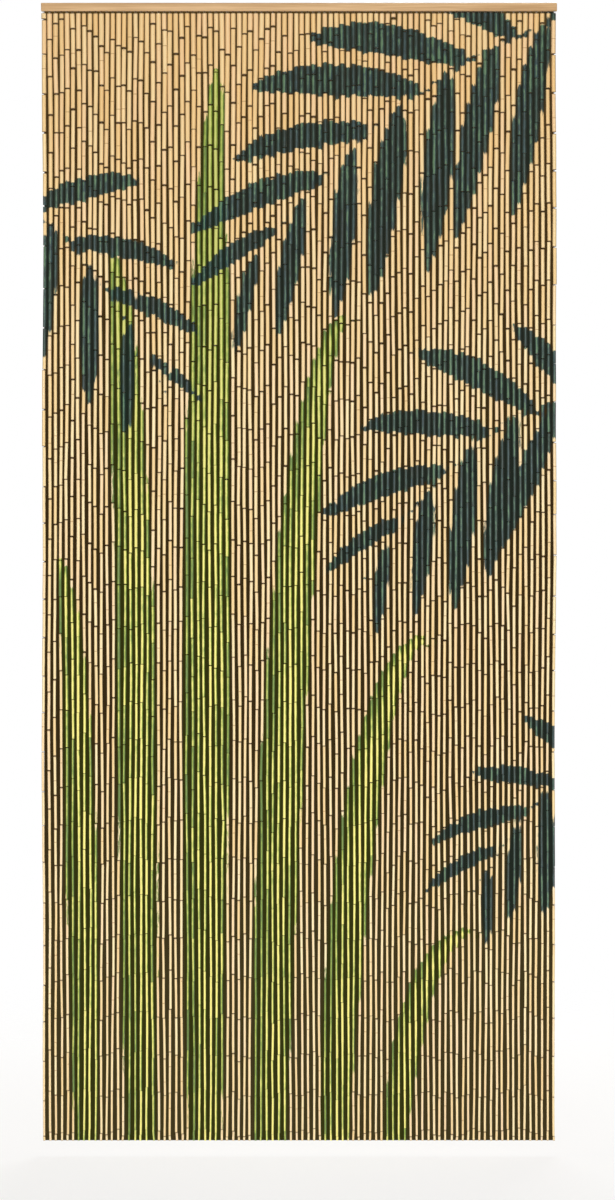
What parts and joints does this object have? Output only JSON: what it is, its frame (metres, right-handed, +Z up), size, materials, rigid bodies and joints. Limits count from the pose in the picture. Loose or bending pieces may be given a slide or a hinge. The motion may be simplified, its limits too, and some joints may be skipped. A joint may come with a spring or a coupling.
{
  "type": "bamboo door curtain",
  "caption": "Door curtain of hanging bamboo bead strands threaded under a slim wooden heading lath, with a painted leaf design.",
  "frame": {"origin": "middle of the heading lath's top face, where the curtain is held up", "axes": "+Z up along the hanging strands, +X across the curtain's width, -Y out of the painted front"},
  "size_m": [0.9, 0.01, 1.985],
  "materials": {
    "lath_wood": "planed softwood, oiled, satin",
    "bamboo": "natural bamboo tube with a thin clear varnish and streaky leaf-green paint",
    "wire": "dull annealed steel wire, for the eyes between the tubes and the screw eyes"
  },
  "bodies": {
    "root": {"heading_lath": "lath_wood", "bamboo_strands": "bamboo"}
  },
  "joints": []
}
